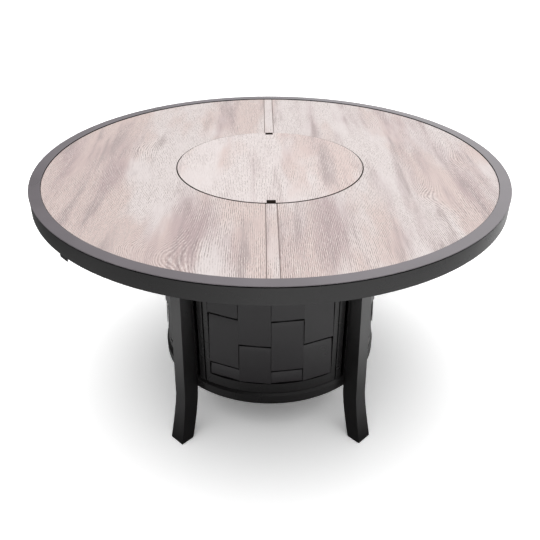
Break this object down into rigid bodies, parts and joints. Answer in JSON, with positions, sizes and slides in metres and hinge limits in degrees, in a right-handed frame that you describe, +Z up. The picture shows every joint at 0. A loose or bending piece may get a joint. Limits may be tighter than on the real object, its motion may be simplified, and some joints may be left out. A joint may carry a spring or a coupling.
{
  "type": "fire pit dining table",
  "caption": "Round fire pit dining table with a tiled top, a lift-off centre lid over a gas burner, and a round slatted base with a door.",
  "frame": {"origin": "on the floor under the middle of the table", "axes": "+Z up, -Y towards the front (the door side), +X to the right as seen from the front"},
  "size_m": [1.22, 1.22, 0.735],
  "materials": {
    "powder_coat": "dark charcoal powder coat, semi-gloss with a fine orange-peel",
    "cap_coat": "charcoal powder coat, satin",
    "slat_coat": "dark charcoal powder coat, satin",
    "hidden_steel": "matt black primer",
    "porcelain_tile": "matt porcelain tile with a fine linear travertine pattern",
    "cement_board": "grey cement board",
    "collar_steel": "dark brown heat-resistant paint",
    "bowl_steel": "heat-resistant dark paint",
    "stainless": "brushed",
    "zinc_screw": "zinc plated",
    "brass": "plain turned",
    "aluminised": "mill finish",
    "lava_rock": "rough porous lava rock",
    "porcelain": "white glaze",
    "black_plastic": "fine texture",
    "chrome": "polished",
    "silicone": "red silicone insulation",
    "black_rubber": "matt",
    "nylon": "black nylon"
  },
  "bodies": {
    "table": {"tile_left": "porcelain_tile", "tile_right": "porcelain_tile", "strip_front": "porcelain_tile", "strip_back": "porcelain_tile", "backer_board": "cement_board", "top_tray": "hidden_steel", "rim_cap": "cap_coat", "apron_ring": "powder_coat", "support_arms": "hidden_steel", "arm_screws": "zinc_screw", "cap_screws": "zinc_screw", "burner_collar": "collar_steel", "fire_bowl": "bowl_steel", "burner_ring": "stainless", "lava_rocks": "lava_rock", "air_mixer": "brass", "burner_nut": "brass", "spark_electrode": "porcelain", "heat_shield": "aluminised", "shield_spacers": "zinc_screw", "control_panel": "hidden_steel", "control_screws": "zinc_screw", "gas_valve": "brass", "inlet_fitting": "brass", "gas_tube": "aluminised", "igniter_module": "black_plastic", "spark_wire": "silicone", "leg_front_left": "powder_coat", "leg_front_right": "powder_coat", "leg_back_left": "powder_coat", "leg_back_right": "powder_coat", "leg_plates": "powder_coat", "foot_glides": "black_plastic", "leg_bolts": "zinc_screw", "upper_ring": "powder_coat", "lower_ring": "powder_coat", "tank_shelf": "hidden_steel", "frame_left": "powder_coat", "frame_right": "powder_coat", "frame_back": "powder_coat", "slats_left": "slat_coat", "slats_right": "slat_coat", "slats_back": "slat_coat", "panel_liners": "hidden_steel", "frame_screws": "zinc_screw", "door_jambs": "powder_coat", "pivot_pins": "stainless", "pivot_washer": "nylon", "magnet_catch": "black_plastic"},
    "lid": {"lid_tile": "porcelain_tile", "lid_backing": "hidden_steel", "lid_bumpers": "black_rubber"},
    "door": {"door_frame": "powder_coat", "door_slats": "slat_coat", "door_liner": "hidden_steel", "strike_plate": "zinc_screw"},
    "stem": {"valve_stem": "stainless"},
    "knob": {"control_knob": "black_plastic"},
    "button": {"igniter_button": "chrome"}
  },
  "joints": [
    {"name": "lid_lift", "type": "slide", "parent": "table", "child": "lid", "axis": [0, 0, 1], "range_m": [0, 0.2]},
    {"name": "door_hinge", "type": "hinge", "parent": "table", "child": "door", "pos_m": [-0.16361, -0.24907, 0.208], "axis": [0, 0, -1], "range_deg": [0, 105]},
    {"name": "stem_push", "type": "slide", "parent": "table", "child": "stem", "axis": [0, 0, 1], "range_m": [0, 0.003], "stiffness_N_per_m": 600, "springref_m": -0.003},
    {"name": "knob_turn", "type": "hinge", "parent": "stem", "child": "knob", "pos_m": [-0.35987, -0.42645, 0.679], "axis": [0, 0, 1], "range_deg": [0, 180]},
    {"name": "button_press", "type": "slide", "parent": "table", "child": "button", "axis": [0, 0, 1], "range_m": [0, 0.004], "stiffness_N_per_m": 500, "springref_m": -0.003}
  ]
}
